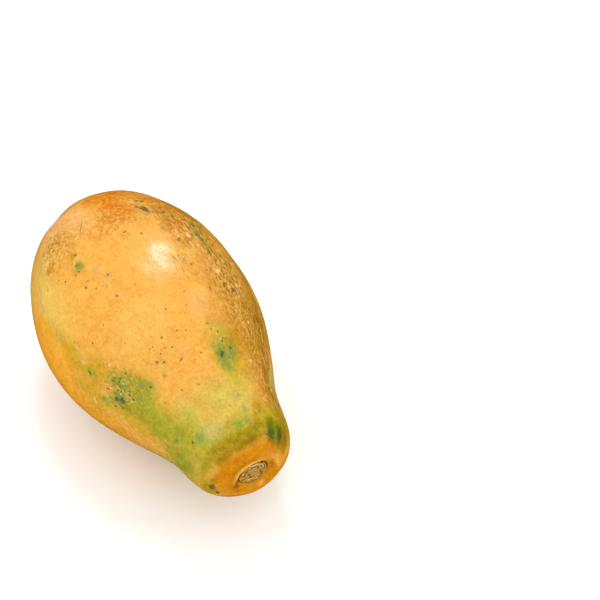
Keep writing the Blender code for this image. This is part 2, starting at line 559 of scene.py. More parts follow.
# Marks on the skin, by kind: name, colour, strength, how ragged and how soft the edge is, and the
# marks themselves: distance, angle, half length and half width in mm, turn in degrees.
MARKS = [
    ("faded_green", "#7C8C42", 0.6, 4.0, 0.35, [
        (37.4, 68.5, 1.9, 1.9, 0),
        (45.5, 67.0, 1.8, 1.2, 0),
        (48.5, 121.5, 1.1, 1.0, 0),
        (51.8, 65.5, 1.7, 0.8, 0),
        (57.3, 63.5, 1.4, 0.8, 20),
        (63.4, 56.0, 2.4, 0.9, 0),
        (70.5, 59.0, 2.0, 1.2, 0),
        (75.0, 57.5, 2.2, 1.0, 10),
        (78.7, 79.0, 1.2, 1.0, 0),
        (82.2, 75.5, 1.4, 1.1, 0),
        (107.0, 166.5, 1.0, 1.0, 0),
        (95.0, 158.0, 1.7, 1.0, 30),
        (113.0, 157.0, 3.4, 3.0, 0),
        (152.0, 36.5, 2.0, 1.0, 0),
        (147.5, 183.0, 0.8, 2.6, 0),
        (150.5, 168.0, 1.4, 1.4, 0),
        (21.5, 77.5, 1.5, 1.0, 0),
        (46.0, 57.5, 1.8, 1.0, 0),
        (56.3, 56.5, 1.6, 0.9, 0),
        (80.7, 58.5, 2.2, 0.9, 10),
        (67.0, 57.0, 3.0, 1.4, 0),
        (101.6, 55.0, 1.6, 1.0, 0),
        (110.0, 163.0, 2.0, 1.8, 0),
        (56.0, 122.0, 1.4, 1.6, 0),
    ]),
    ("sea_green_blotch", "#5F8748", 0.55, 4.0, 0.45, [
        (55.5, 123.8, 2.2, 1.0, 0),
        (126.8, 79.0, 2.8, 2.0, 10),
        (126.0, 71.5, 1.8, 1.4, 0),
        (130.8, 81.0, 2.4, 1.6, 0),
        (128.4, 70.4, 1.6, 1.2, 0),
        (122.5, 78.5, 1.8, 1.3, 0),
        (132.3, 77.5, 1.8, 1.4, 0),
        (122.3, 83.0, 1.2, 1.1, 0),
        (114.5, 158.5, 2.4, 1.8, 0),
        (120.9, 135.5, 2.0, 1.2, -20),
        (117.0, 140.5, 2.6, 1.2, -20),
        (120.9, 148.0, 1.6, 1.2, 0),
        (106.9, 166.5, 1.2, 1.6, 0),
        (109.3, 148.5, 1.0, 1.5, 0),
        (113.0, 148.0, 1.4, 1.1, 0),
        (143.6, 157.5, 1.4, 2.0, 0),
        (152.0, 133.5, 1.8, 2.0, 0),
        (155.0, 169.0, 0.9, 1.3, 0),
        (147.6, 171.5, 0.7, 1.4, 0),
        (147.6, 183.5, 0.7, 1.4, 0),
        (144.6, 80.0, 1.0, 0.8, 0),
        (151.5, 81.0, 2.0, 1.0, 0),
        (157.0, 83.0, 2.4, 1.0, 0),
        (156.5, 94.0, 1.6, 1.5, 0),
        (115.8, 121.5, 0.9, 0.8, 0),
        (117.7, 118.0, 1.0, 0.6, 0),
        (121.8, 123.0, 0.9, 0.8, 0),
        (140.7, 30.5, 3.0, 0.6, 0),
        (153.0, 38.5, 2.0, 0.8, 0),
        (128.0, 280.0, 3.0, 2.0, 10),
        (112.0, 262.0, 2.0, 1.4, 0),
    ]),
    ("grey_film", "#A1986A", 0.6, 3.5, 0.45, [
        (29.0, 144.5, 3.4, 0.8, 0),
        (36.0, 150.5, 4.0, 0.9, 0),
        (42.6, 157.0, 3.2, 0.9, 0),
        (49.9, 160.5, 3.6, 0.9, 0),
        (57.8, 174.5, 1.4, 0.9, 0),
        (62.4, 116.5, 1.3, 1.0, 0),
        (69.5, 113.0, 1.5, 0.9, 0),
        (79.7, 115.5, 1.1, 0.9, 0),
        (67.4, 125.5, 1.0, 0.8, 0),
        (87.3, 100.5, 0.9, 0.6, 0),
    ]),
    ("dark_green", "#445222", 0.85, 4.0, 0.25, [
        (44.8, 72.0, 3.0, 1.5, -8),
        (42.0, 74.0, 1.4, 0.9, 0),
        (36.6, 69.6, 0.9, 0.7, 0),
        (38.4, 67.3, 0.9, 0.6, 0),
        (48.6, 71.4, 0.9, 0.5, 0),
        (48.8, 121.6, 0.5, 0.5, 0),
        (57.8, 124.6, 0.6, 0.5, 0),
        (58.2, 127.0, 0.5, 0.5, 0),
        (114.8, 158.6, 1.6, 1.3, 0),
        (112.4, 159.8, 1.0, 0.7, 30),
        (165.0, 62.0, 2.8, 1.9, 6),
        (165.2, 46.5, 3.0, 1.6, 12),
        (166.3, 182.0, 1.3, 2.3, 0),
        (167.6, 196.0, 0.8, 1.8, 0),
        (121.4, 136.0, 0.6, 0.5, 0),
        (95.2, 158.2, 1.0, 0.5, 30),
        (57.6, 63.2, 0.8, 0.4, 20),
        (70.4, 59.6, 0.8, 0.4, 20),
        (63.8, 55.6, 1.3, 0.6, 0),
        (51.3, 65.0, 1.0, 0.6, 0),
        (56.3, 63.2, 0.9, 0.5, 0),
        (70.0, 58.0, 1.5, 0.7, 10),
        (73.6, 58.0, 1.2, 0.6, 0),
        (80.7, 58.5, 1.2, 0.4, 0),
        (99.2, 60.5, 0.9, 0.5, 10),
        (101.6, 55.0, 0.9, 0.6, 0),
        (109.0, 146.0, 0.5, 0.5, 0),
        (107.0, 151.0, 0.6, 0.4, 0),
        (111.0, 154.0, 0.5, 0.5, 0),
        (104.0, 155.0, 0.5, 0.4, 0),
        (116.5, 163.5, 0.6, 0.5, 0),
        (113.0, 166.0, 0.6, 0.5, 0),
        (119.0, 152.0, 0.6, 0.5, 0),
        (109.5, 141.0, 0.5, 0.4, 0),
        (54.0, 124.0, 0.4, 0.4, 0),
        (122.0, 76.0, 0.6, 0.5, 0),
        (129.0, 74.5, 0.6, 0.5, 0),
        (109.3, 148.5, 0.45, 0.4, 0),
        (111.0, 150.5, 0.35, 0.35, 0),
        (112.6, 153.0, 0.5, 0.4, 0),
        (108.4, 153.5, 0.35, 0.4, 0),
        (110.5, 157.0, 0.4, 0.35, 0),
        (106.5, 158.0, 0.35, 0.35, 0),
        (113.5, 151.0, 0.35, 0.35, 0),
        (115.5, 149.0, 0.4, 0.3, 0),
        (112.0, 161.0, 0.4, 0.4, 0),
        (109.3, 162.5, 0.4, 0.35, 0),
        (117.5, 156.0, 0.35, 0.3, 0),
        (150.5, 144.0, 0.9, 0.5, 30),
        (143.6, 157.5, 0.6, 0.8, 0),
        (126.8, 79.4, 1.4, 0.7, 20),
        (125.4, 71.6, 0.7, 0.8, 0),
    ]),
    ("corky_brown", "#765318", 0.8, 3.0, 0.22, [
        (49.4, 70.0, 0.9, 0.8, 0),
        (71.0, 70.5, 1.1, 0.9, 0),
        (68.0, 69.5, 0.7, 0.5, 0),
        (53.2, 91.0, 0.5, 0.9, 0),
        (58.8, 84.5, 0.7, 0.6, 0),
        (85.3, 73.0, 0.6, 0.5, 0),
        (99.2, 70.0, 1.2, 0.4, 0),
        (99.2, 60.5, 1.0, 0.6, 20),
        (102.0, 55.5, 1.3, 0.5, 0),
        (114.5, 43.0, 1.8, 0.7, 0),
        (113.6, 37.5, 1.4, 1.5, 0),
        (116.5, 151.5, 0.8, 0.6, 0),
        (108.8, 109.5, 0.5, 0.5, 0),
        (109.8, 99.5, 0.4, 0.5, 0),
        (114.5, 107.5, 0.5, 0.5, 0),
        (113.1, 111.5, 0.4, 0.4, 0),
        (120.9, 107.0, 0.3, 1.2, -25),
        (117.7, 117.5, 0.5, 0.6, 0),
        (115.8, 121.0, 0.5, 0.5, 0),
        (114.0, 116.0, 0.4, 0.4, 0),
        (109.8, 117.0, 0.4, 0.4, 0),
        (117.7, 76.5, 0.5, 0.5, 0),
        (115.8, 80.0, 0.4, 0.4, 0),
        (113.1, 80.5, 0.4, 0.5, 0),
        (120.9, 75.0, 0.4, 0.4, 0),
        (133.2, 106.5, 0.5, 0.5, 0),
        (131.0, 120.0, 0.4, 0.4, 0),
        (122.7, 93.0, 0.4, 0.4, 0),
        (99.2, 98.5, 0.5, 0.4, 0),
        (96.2, 84.5, 0.5, 0.5, 0),
        (102.1, 87.0, 0.3, 0.4, 0),
        (81.2, 104.5, 0.4, 0.4, 0),
        (73.6, 117.0, 0.3, 0.4, 0),
        (80.7, 115.5, 0.5, 0.6, 0),
        (71.0, 122.0, 0.4, 0.4, 0),
        (67.4, 126.0, 0.7, 0.6, 0),
        (56.3, 134.0, 0.5, 0.5, 0),
        (52.3, 137.5, 0.5, 0.4, 0),
        (69.0, 113.0, 0.5, 0.5, 0),
        (88.8, 142.5, 0.7, 0.4, 0),
        (87.3, 131.0, 0.4, 0.4, 0),
        (97.2, 114.0, 0.3, 0.4, 0),
        (46.5, 83.0, 0.5, 0.4, 0),
        (0.0, 0.0, 2.4, 2.4, 0),
    ]),
    ("pale_cork", "#F0CE9C", 0.55, 4.0, 0.3, [
        (69.5, 64.0, 1.5, 0.9, 0),
        (75.0, 66.0, 1.2, 0.5, 0),
        (72.0, 61.0, 1.0, 0.4, 0),
        (92.3, 61.0, 1.0, 0.6, 0),
        (98.7, 50.5, 1.0, 0.7, 0),
        (82.7, 152.5, 1.0, 0.3, 0),
        (102.6, 173.5, 0.5, 1.9, -30),
        (101.6, 144.5, 0.4, 0.9, 20),
        (99.0, 48.0, 0.5, 0.6, 0),
        (132.0, 56.0, 0.8, 0.6, 0),
        (68.5, 69.5, 0.8, 0.5, 0),
        (91.8, 60.0, 1.0, 0.7, 0),
        (103.1, 55.5, 0.8, 0.3, 0),
        (115.8, 50.0, 0.7, 0.6, 0),
        (131.0, 39.0, 4.0, 0.2, -10),
        (144.0, 36.0, 4.4, 0.25, 6),
        (152.0, 40.0, 2.6, 0.2, 0),
        (110.0, 152.0, 0.5, 0.35, 0),
        (113.0, 155.0, 0.5, 0.4, 0),
        (111.5, 147.5, 0.4, 0.3, 0),
        (107.5, 156.0, 0.4, 0.4, 0),
        (138.0, 30.0, 5.0, 0.35, -4),
        (127.0, 33.0, 5.0, 0.3, 0),
        (120.0, 36.0, 4.0, 0.3, 3),
        (147.0, 28.0, 4.0, 0.3, 0),
        (131.4, 24.5, 4.0, 0.3, 0),
    ]),
    ("fine_scratch", "#8A6418", 0.75, 0.6, 0.3, [
        (30.4, 122.8, 5.8, 0.24, -44),
        (35.8, 109.8, 5.6, 0.24, 28),
        (28.8, 141.5, 3.2, 0.24, -120),
        (30.9, 132.0, 5.6, 0.24, -48),
        (129.8, 37.2, 4.9, 0.25, -28),
        (143.0, 33.2, 4.9, 0.25, 20),
        (134.0, 34.0, 6.0, 0.3, 2),
        (141.0, 27.0, 5.0, 0.35, -3),
        (150.0, 33.0, 4.0, 0.3, 4),
        (124.0, 30.0, 5.0, 0.3, 0),
        (116.0, 33.0, 5.0, 0.3, 0),
        (120.0, 21.0, 4.0, 0.4, 0),
        (148.6, 36.5, 3.5, 0.3, 0),
    ]),
    # Stem crack: painted shadow, a dark line along the gap between the lip and the stub on its upper side,
    # where the lip shades the recessed stub.
    ("stem_gap_shadow", "#4C2E0C", 0.92, 0.3, 0.25, [
        (173.9, 178, 0.5, 0.9, 0),
        (174.7, 164, 0.3, 1.4, 12),
        (175.1, 148, 0.28, 1.7, 0),
        (175.2, 128, 0.26, 1.8, 0),
        (175.4, 106, 0.24, 1.6, 0),
    ]),
]

# Surface of the stub's cut face: place to +Y and up from its middle in mm, reach in mm, height in mm.
STUB_BUMPS = [
    (-5.4, 2.2, 0.9, 0.35),
    (-2.2, 5.3, 0.8, 0.5),
    (0.2, 5.2, 0.9, 0.6),
    (2.2, 4.9, 0.8, 0.5),
    (5.0, 2.2, 0.8, 0.5),
    (5.8, 0.0, 0.6, 0.4),
    (4.2, 4.7, 0.6, -0.8),
    (3.8, -1.9, 0.6, -0.7),
    (-1.7, -1.6, 0.7, -0.9),
    (-4.4, -0.4, 0.5, -0.6),
    (-3.2, -0.5, 0.5, 0.3),
    (0.2, 1.8, 1.6, 0.25),
    (1.8, -2.8, 0.6, 0.3),
    (-2.0, -4.3, 0.8, 0.35),
    (1.2, -5.2, 0.9, 0.35),
    (0.0, 3.6, 2.2, -0.3),
]
STUB_MARKS = [
    ("skin_flap", "#CC8A24", 0.9, 0.5, 0.2, [
        (6.0, -3.2, 1.0, 2.2, -24),
        (-6.4, -1.6, 0.7, 1.6, -10),
    ]),
    ("orange_pith", "#CE8E2E", 0.6, 1.2, 0.3, [
        (0.1, 1.8, 1.6, 0.8, 0),
        (-0.4, -2.0, 0.8, 0.5, 0),
        (3.0, 0.6, 0.8, 0.7, 0),
    ]),
    ("pale_fibre", "#DDBB72", 0.75, 0.9, 0.22, [
        (4.7, 2.4, 0.3, 1.6, 18),
        (5.9, 0.2, 0.3, 0.8, 6),
        (-3.3, -0.5, 0.5, 0.34, 10),
        (1.7, -2.8, 0.5, 0.36, 0),
        (-2.0, -4.3, 1.1, 0.34, 14),
        (1.3, -5.2, 1.0, 0.3, 8),
        (-5.3, 2.1, 0.9, 0.3, 56),
    ]),
    ("grey_fibre", "#CBC3AC", 0.9, 0.5, 0.2, [
        (-2.4, 5.1, 1.4, 0.42, 24),
        (0.2, 5.4, 1.7, 0.52, 0),
        (2.2, 4.9, 0.9, 0.42, -18),
        (-3.0, -0.6, 0.3, 0.24, 10),
    ]),
    # Dark pits: real dark pits and cracks in the stub's face, and painted shadow along its upper edge.
    ("dark_pits_and_rim_shadow", "#3E240C", 0.92, 0.5, 0.16, [
        # Painted shadow: these first five lie in an arc along the stub's upper edge, under the lip.
        (-6.6, 1.4, 1.7, 0.32, 70),
        (-5.0, 4.4, 1.6, 0.3, 44),
        (-2.6, 6.2, 1.5, 0.28, 20),
        (0.5, 6.4, 1.7, 0.26, -4),
        (3.2, 5.8, 1.2, 0.3, -24),
        (4.4, 4.4, 0.7, 0.55, -40),
        (5.4, 1.4, 0.24, 1.6, 14),
        (6.3, -0.9, 0.6, 0.24, 20),
        (3.8, -1.9, 0.4, 0.8, -10),
        (4.2, -3.4, 0.26, 1.2, -30),
        (-4.4, -0.4, 0.5, 0.4, 0),
        (-1.4, -3.2, 1.4, 0.24, 16),
        (-0.4, 3.9, 2.4, 0.2, 4),
        (-3.4, 2.6, 1.2, 0.2, 60),
        (2.4, 2.0, 0.22, 1.2, 20),
    ]),
    ("red_pith", "#6E1F14", 0.9, 0.4, 0.2, [
        (-1.7, -1.6, 0.7, 0.5, 30),
        (4.0, 4.9, 0.5, 0.4, 0),
    ]),
]


def smooth_curve(knots, count, start_direction):
    """Evenly spaced points on the cubic spline through the knots, measured along its chords."""
    knots = np.array(knots)
    steps = np.linalg.norm(np.diff(knots, axis=0), axis=1)
    along = np.concatenate([[0.0], np.cumsum(steps)])
    slopes = np.diff(knots, axis=0) / steps[:, None]
    last = len(knots) - 1
    system = np.eye(last + 1)
    change = np.zeros_like(knots)
    system[0, :2] = 2.0 * steps[0], steps[0]
    change[0] = 6.0 * (slopes[0] - np.array(start_direction))
    for i in range(1, last):
        system[i, i - 1:i + 2] = steps[i - 1], 2.0 * (steps[i - 1] + steps[i]), steps[i]
        change[i] = 6.0 * (slopes[i] - slopes[i - 1])
    bending = np.linalg.solve(system, change)

    points = []
    for place in np.linspace(0.0, along[-1], count):
        i = min(int(np.searchsorted(along, place, side="right")) - 1, last - 1)
        before = (along[i + 1] - place) / steps[i]
        after = 1.0 - before
        curve = (before ** 3 - before) * bending[i] + (after ** 3 - after) * bending[i + 1]
        points.append(before * knots[i] + after * knots[i + 1] + curve * steps[i] ** 2 / 6.0)
    return points


def skin_outline():
    """Half outline of the skin from the blossom end to the rim of the stem end."""
    outline = smooth_curve(np.array(SKIN_OUTLINE_MM) * MM, SKIN_RINGS, (0.0, 1.0))
    outline[0][1] = 0.0
    return outline


def fruit_outline():
    """Half outline of the fruit from the blossom end, over the rim, to the socket's wall and floor."""
    knots = np.array(SKIN_OUTLINE_MM[-1:] + STEM_END_MM) * MM
    dish = smooth_curve(knots, STEM_END_RINGS, (0.2, -1.0))[1:]
    distance, radius = dish[-1]
    floor = [(distance, radius * (1.0 - ring / FLOOR_RINGS)) for ring in range(1, FLOOR_RINGS + 1)]
    return skin_outline() + dish + floor


def stub_outline():
    """Half outline of the stub, from the middle of its cut face to the middle of its foot."""
    face = [(STUB_FACE, STUB_RADIUS * ring / STUB_FACE_RINGS) for ring in range(STUB_FACE_RINGS + 1)]
    side = [
        (STUB_FACE + (STUB_FOOT - STUB_FACE) * ring / STUB_SIDE_RINGS, STUB_RADIUS)
        for ring in range(1, STUB_SIDE_RINGS + 1)
    ]
    return face + side + [(STUB_FOOT, 0.5 * STUB_RADIUS), (STUB_FOOT, 0.0)]


def turned(name, outline, segments):
    """Object turned about +Z from a half outline of distances and radii."""
    bm = bmesh.new()
    points = [bm.verts.new((radius, 0.0, distance)) for distance, radius in outline]
    edges = [bm.edges.new(pair) for pair in zip(points, points[1:])]
    bmesh.ops.spin(
        bm,
        geom=points + edges,
        cent=(0.0, 0.0, 0.0),
        axis=(0.0, 0.0, 1.0),
        angle=2.0 * math.pi,
        steps=segments,
        use_merge=True,
        use_duplicate=False,
    )
    bmesh.ops.remove_doubles(bm, verts=bm.verts[:], dist=MERGE_DISTANCE)
    bmesh.ops.recalc_face_normals(bm, faces=bm.faces[:])
    mesh = bpy.data.meshes.new(name)
    bm.to_mesh(mesh)
    bm.free()
    mesh.shade_smooth()
    piece = bpy.data.objects.new(name, mesh)
    bpy.context.scene.collection.objects.link(piece)
    return piece


def points_of(piece):
    """The piece's points as rows of x, y, z."""
    flat = np.empty(len(piece.data.vertices) * 3)
    piece.data.vertices.foreach_get("co", flat)
    return flat.reshape(-1, 3)


def set_points(piece, points):
    """Put the piece's points at these rows of x, y, z."""
    piece.data.vertices.foreach_set("co", points.ravel())
    piece.data.update()


def normals_of(piece):
    """The piece's outward directions at its points, as rows."""
    flat = np.empty(len(piece.data.vertices) * 3)
    piece.data.vertex_normals.foreach_get("vector", flat)
    return flat.reshape(-1, 3)


def hump(value, middle, reach):
    """Height from 0 to 1 of a rounded hump that is 1 at its middle."""
    return np.exp(-((value - middle) / reach) ** 2)


def grown(distance, radius, angle):
    """Places of the plain turned fruit's points once it has its ridges, uneven girth and bent neck."""
    ridge = RIDGE_ALL
    for middle, reach, size in RIDGE_SWELLS:
        ridge = ridge + size * hump(distance, middle, reach)
    share = ridge * np.cos(RIDGES * (angle - RIDGE_TURN))
    for waves, size, turn in UNEVEN_GIRTH:
        share = share + size * np.cos(waves * (angle - turn))
    y = radius * (1.0 + share) * np.cos(angle)
    z = radius * (1.0 + share) * np.sin(angle)
    bent_length = LENGTH - BEND_START
    past = np.maximum(distance - BEND_START, 0.0) / bent_length
    x = distance - 2.0 * past / bent_length * (NECK_SIDEWAYS * y + NECK_LIFT * z)
    return np.stack([x, y + NECK_SIDEWAYS * past ** 2, z + NECK_LIFT * past ** 2], axis=-1)


def tipped(points):
    """The points once the fruit's neck is tipped down."""
    c, s = math.cos(TIP_DOWN), math.sin(TIP_DOWN)
    x, y, z = points[..., 0], points[..., 1], points[..., 2]
    return np.stack([c * x + s * z, y, c * z - s * x], axis=-1)


def noise_at(points, feature, seed):
    """Smooth noise from about -1 to 1 at the points, with features of this size."""
    offset = Vector((seed, 0.37 * seed, -seed))
    return np.array([noise.noise(Vector(point) / feature + offset) for point in points])


def soft_spots(distance, angle, spots):
    """Strength from 0 to 1 of a wash at places in mm and degrees, from its soft spots."""
    left = np.ones_like(distance)
    for spot_distance, spot_angle, reach, spread, strength in spots:
        past = (distance - spot_distance) / reach
        turn = ((angle - spot_angle + 180.0) % 360.0 - 180.0) / spread
        left = left * (1.0 - strength * np.exp(-past ** 2 - turn ** 2))
    return 1.0 - left


def stem_end_relief(distance, radius, angle):
    """How far the stem end stands out along the fruit, past its turned outline."""
    upper = 0.5 + 0.5 * np.cos(angle - UPPER_SIDE)
    right = hump(np.degrees(angle), RIGHT_DEGREES, RIGHT_SPREAD_DEGREES)
    lip = LIP_HEIGHT_MM * upper * hump(radius, LIP_RADIUS, LIP_REACH)
    crease_radius = (CREASE_RADIUS_MM - CREASE_SWING_MM * right) * MM
    crease = -CREASE_DEPTH_MM * np.maximum(upper, right) * hump(radius, crease_radius, CREASE_REACH)
    swelling = SWELLING_HEIGHT_MM * hump(radius, SWELLING_RADIUS, SWELLING_REACH)
    return (distance > STEM_END) * (lip + crease + swelling) * MM


def blossom_end_relief(distance, radius, angle):
    """How far the blossom end stands out along the fruit, past its turned outline."""
    dimple = -DIMPLE_DEPTH_MM * hump(radius, 0.0, DIMPLE_REACH)
    fold_waves = np.cos(RIDGES * (angle - RIDGE_TURN))
    folds = FOLD_HEIGHT_MM * fold_waves * (radius / FOLD_RADIUS) * hump(radius, 0.0, FOLD_REACH)
    return (distance < BLOSSOM_END) * (dimple + folds) * MM


def add_field(piece, name, values):
    """Store one number per point on the piece, for its material to read."""
    field = piece.data.attributes.new(name, "FLOAT", "POINT")
    field.data.foreach_set("value", values)


def add_places(piece, name, places):
    """Store one place per point on the piece, for its material to read."""
    field = piece.data.attributes.new(name, "FLOAT_VECTOR", "POINT")
    field.data.foreach_set("vector", places.ravel())


def linear(hex_colour):
    """Linear colour with alpha from an sRGB hex value."""
    channels = [int(hex_colour[i:i + 2], 16) / 255.0 for i in (1, 3, 5)]
    return [c / 12.92 if c <= 0.04045 else ((c + 0.055) / 1.055) ** 2.4 for c in channels] + [1.0]


def add(tree, kind, inputs, **settings):
    """Add a node with its settings to the tree, link or set its inputs, and return it."""
    made = tree.nodes.new(kind)
    for name, value in settings.items():
        setattr(made, name, value)
    for key, value in inputs.items():
        if isinstance(value, bpy.types.NodeSocket):
            tree.links.new(value, made.inputs[key])
        else:
            made.inputs[key].default_value = value
    return made


def new_material(name):
    """Empty material, with its node tree."""
    material = bpy.data.materials.new(name)
    material.use_nodes = True
    material.node_tree.nodes.clear()
    return material, material.node_tree


def laid_over(tree, under, colour, strength):
    """Colour socket of a colour laid over another at this strength."""
    mix = add(tree, "ShaderNodeMix", {0: strength, 6: under, 7: colour}, data_type="RGBA")
    return mix.outputs[2]


def toned(tree, colour, grain, tones, field=None):
    """Colour socket with tones laid over a colour by a noise, all over or only where a field is."""
    for hex_colour, start, end, most in tones:
        amount = {"Value": grain, "From Min": start, "From Max": end, "To Max": most}
        amount = add(tree, "ShaderNodeMapRange", amount).outputs[0]
        if field is not None:
            amount = add(tree, "ShaderNodeMath", {0: amount, 1: field}, operation="MULTIPLY").outputs[0]
        colour = laid_over(tree, colour, linear(hex_colour), amount)
    return colour


def nearest_mark(tree, place, frames):
    """Socket that is 1 in the middle of the nearest mark, and falls evenly to 0 well past its edge."""
    nearest = None
    for location, rotation, size in frames:
        reach = [MARK_MARGIN * length for length in size]
        local = {"Vector": place, "Location": location, "Rotation": rotation, "Scale": reach}
        local = add(tree, "ShaderNodeMapping", local, vector_type="TEXTURE").outputs[0]
        near = add(tree, "ShaderNodeTexGradient", {"Vector": local}, gradient_type="SPHERICAL")
        near = near.outputs["Fac"]
        if nearest is None:
            nearest = near
        else:
            nearest = add(tree, "ShaderNodeMath", {0: nearest, 1: near}, operation="MAXIMUM").outputs[0]
    return nearest


def lay_marks(tree, colour, place, noise_socket, kinds, frame_of):
    """Colour socket with marks of several kinds laid over a colour, and a socket of where they are."""
    edge = 1.0 - 1.0 / MARK_MARGIN
    inside = None
    for _, hex_colour, strength, ragged, softness, marks in kinds:
        nearest = nearest_mark(tree, place, [frame_of(*mark) for mark in marks])
        uneven = {0: noise_socket, 1: ragged, 2: 1.0 - 0.5 * ragged}
        uneven = add(tree, "ShaderNodeMath", uneven, operation="MULTIPLY_ADD").outputs[0]
        near = add(tree, "ShaderNodeMath", {0: nearest, 1: uneven}, operation="MULTIPLY").outputs[0]
        fade = {"Value": near, "From Min": edge - softness, "From Max": edge + softness, "To Max": strength}
        fade = add(tree, "ShaderNodeMapRange", fade, interpolation_type="SMOOTHSTEP").outputs[0]
        colour = laid_over(tree, colour, linear(hex_colour), fade)
        if inside is None:
            inside = fade
        else:
            inside = add(tree, "ShaderNodeMath", {0: inside, 1: fade}, operation="MAXIMUM").outputs[0]
    return colour, inside


def way_along(distance, radius):
    """How far a skin point is from the blossom end; past the rim, the way goes on towards the stub."""
    past_rim = (distance > STEM_END) & (radius < RIM_MM * MM)
    return np.where(past_rim, LENGTH + RIM_MM * MM - radius, distance)


def skin_point(way, angle):
    """Place on the finished fruit's plain skin, so far along it and at this angle."""
    distance = np.interp(way, skin_ways, skin_line[:, 0])
    radius = np.interp(way, skin_ways, skin_line[:, 1])
    return Vector(tipped(grown(distance, radius, angle)) + fruit_shift)


def skin_frame(distance, angle, half_length, half_width, turn):
    """Place, turn and size of a mark on the skin, for a Mapping node."""
    way, radians = distance * MM, math.radians(angle)
    if distance == 0.0:
        lengthwise, sideways = Vector((0.0, 0.0, 1.0)), Vector((0.0, 1.0, 0.0))
    else:
        lengthwise = skin_point(way + STEP_ALONG, radians) - skin_point(way - STEP_ALONG, radians)
        sideways = skin_point(way, radians + STEP_ROUND) - skin_point(way, radians - STEP_ROUND)
        lengthwise.normalize()
        sideways.normalize()
    outwards = lengthwise.cross(sideways).normalized()
    axes = Matrix((lengthwise, outwards.cross(lengthwise), outwards)).transposed()
    axes = axes @ Matrix.Rotation(math.radians(turn), 3, "Z")
    size = (half_length * MM, half_width * MM, max(half_length, half_width) * MM)
    return skin_point(way, radians), axes.to_euler(), size


